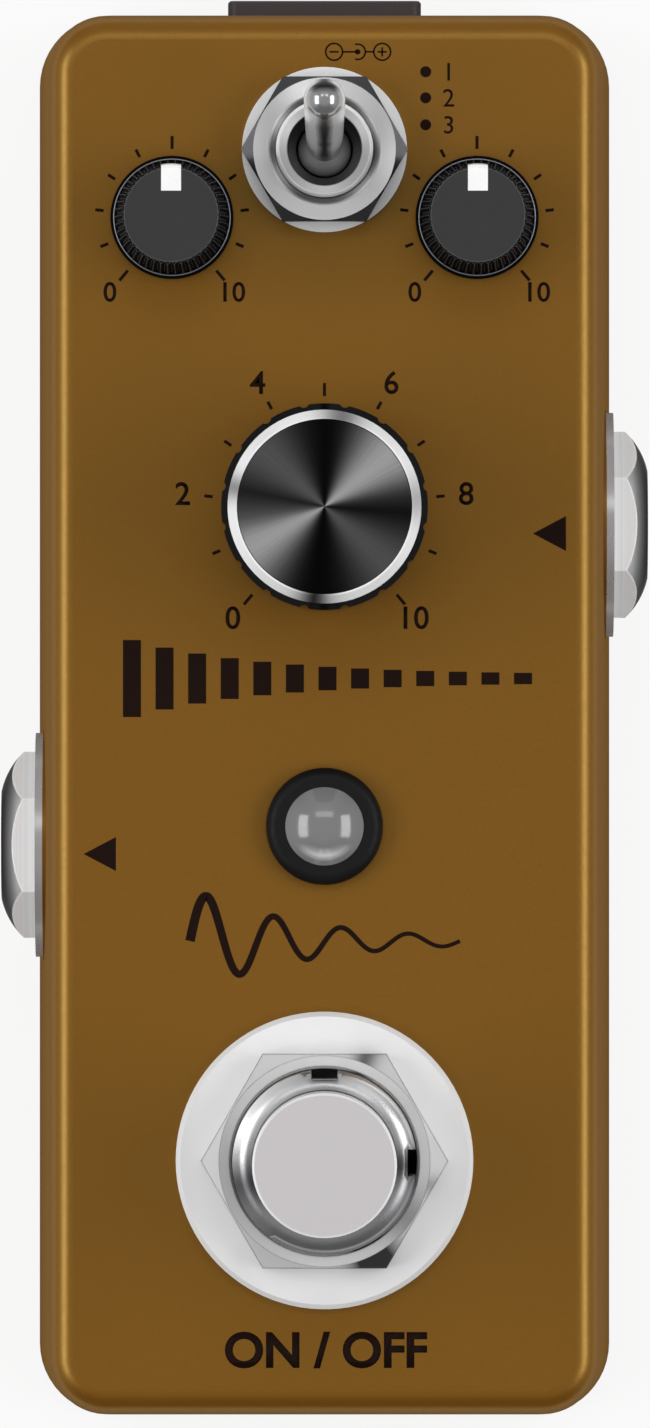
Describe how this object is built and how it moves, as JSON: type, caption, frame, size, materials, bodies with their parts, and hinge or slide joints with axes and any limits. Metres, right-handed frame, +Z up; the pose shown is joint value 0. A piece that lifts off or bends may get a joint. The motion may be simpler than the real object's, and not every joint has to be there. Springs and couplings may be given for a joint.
{
  "type": "delay pedal",
  "caption": "Mini guitar delay pedal: a tapered die-cast case with a sprung footswitch, a bat toggle, turning control knobs, a lamp, side audio jacks and a rear power socket.",
  "frame": {"origin": "centre of the rubber pad's underside, on the middle of the case's rim outline", "axes": "+Z up through the controls, +Y to the rear end with the power socket, +X to the side with the input jack"},
  "size_m": [0.0428, 0.0939, 0.052],
  "materials": {
    "case_paint": "die-cast aluminium under satin bronze metallic paint",
    "base_plate_paint": "stamped aluminium sheet under the same bronze paint",
    "screw_steel": "black oxide screws with cross recesses",
    "pad_rubber": "black ribbed rubber sheet, glued on",
    "washer_nickel": "bright white nickel plate",
    "nut_nickel": "polished nickel plate",
    "bushing_nickel": "nickel plated brass thread",
    "plunger_steel": "satin plated button",
    "spring_steel": "plain spring wire",
    "frame_steel": "tin plated sheet steel",
    "switch_plastic": "blue moulded switch case",
    "toggle_plastic": "red moulded switch case",
    "lug_silver": "silver plated lugs",
    "board_green": "glass epoxy board with green lacquer",
    "chip_black": "moulded epoxy",
    "capacitor_can": "aluminium can with a dark sector",
    "header_plastic": "cream nylon",
    "cable_grey": "grey ribbon cable",
    "lever_chrome": "polished chrome plate",
    "knob_black": "gloss black moulding",
    "knob_dark": "knurled dark moulding with a grey top",
    "knob_disc": "black anodised spun disc",
    "rim_chrome": "bright turned ring",
    "pointer_white": "white insert",
    "pot_grey": "tinned steel can",
    "shaft_plastic": "cream moulded shaft",
    "bezel_black": "black moulded collar",
    "lens_clear": "clear epoxy lamp, unlit",
    "jack_plastic": "black moulded jack housing",
    "power_plastic": "dark moulded socket",
    "contact_silver": "silver plated contact spring"
  },
  "bodies": {
    "case_assembly": {"enclosure": "case_paint", "base_plate": "base_plate_paint", "base_plate_screws": "screw_steel", "rubber_pad": "pad_rubber", "footswitch_washer": "washer_nickel", "footswitch_nut": "nut_nickel", "footswitch_inner_nut": "nut_nickel", "footswitch_lock_washer": "spring_steel", "footswitch_bushing": "bushing_nickel", "footswitch_spring": "spring_steel", "footswitch_frame": "frame_steel", "footswitch_case": "switch_plastic", "footswitch_lugs": "lug_silver", "footswitch_board": "board_green", "toggle_washer": "washer_nickel", "toggle_nut": "nut_nickel", "toggle_inner_nut": "nut_nickel", "toggle_bushing": "bushing_nickel", "toggle_case": "toggle_plastic", "toggle_terminals": "lug_silver", "level_pot_case": "pot_grey", "feedback_pot_case": "pot_grey", "time_pot_case": "pot_grey", "led_bezel": "bezel_black", "led_bezel_ring": "bezel_black", "led_lens": "lens_clear", "led_leads": "lug_silver", "input_jack_washer": "washer_nickel", "input_jack_nut": "nut_nickel", "input_jack_bushing": "bushing_nickel", "input_jack_housing": "jack_plastic", "input_jack_contacts": "contact_silver", "output_jack_washer": "washer_nickel", "output_jack_nut": "nut_nickel", "output_jack_bushing": "bushing_nickel", "output_jack_housing": "jack_plastic", "output_jack_contacts": "contact_silver", "power_jack_housing": "power_plastic", "power_jack_pin": "contact_silver", "power_jack_contact": "contact_silver", "main_board": "board_green", "delay_chips": "chip_black", "capacitors": "capacitor_can", "board_header": "header_plastic", "ribbon_cable": "cable_grey"},
    "button": {"footswitch_plunger": "plunger_steel"},
    "lever": {"toggle_lever": "lever_chrome"},
    "level_control": {"level_knob": "knob_dark", "level_knob_pointer": "pointer_white", "level_pot_shaft": "shaft_plastic"},
    "feedback_control": {"feedback_knob": "knob_dark", "feedback_knob_pointer": "pointer_white", "feedback_pot_shaft": "shaft_plastic"},
    "time_control": {"time_knob": "knob_black", "time_knob_rim": "rim_chrome", "time_knob_insert": "knob_disc", "time_pot_shaft": "shaft_plastic"}
  },
  "joints": [
    {"name": "footswitch_press", "type": "slide", "parent": "case_assembly", "child": "button", "axis": [0, 0, 1], "range_m": [-0.003, 0], "stiffness_N_per_m": 3000, "springref_m": 0.002, "deforming": ["footswitch_spring"]},
    {"name": "toggle_flip", "type": "hinge", "parent": "case_assembly", "child": "lever", "pos_m": [0, 0.03695, 0.033], "axis": [1, 0, 0], "range_deg": [0, 25]},
    {"name": "level_turn", "type": "hinge", "parent": "case_assembly", "child": "level_control", "pos_m": [-0.00997, 0.0325, 0.034], "axis": [0, 0, 1], "range_deg": [-140, 140]},
    {"name": "feedback_turn", "type": "hinge", "parent": "case_assembly", "child": "feedback_control", "pos_m": [0.00997, 0.0325, 0.034], "axis": [0, 0, 1], "range_deg": [-140, 140]},
    {"name": "time_turn", "type": "hinge", "parent": "case_assembly", "child": "time_control", "pos_m": [0, 0.0135, 0.034], "axis": [0, 0, 1], "range_deg": [-140, 140]}
  ]
}
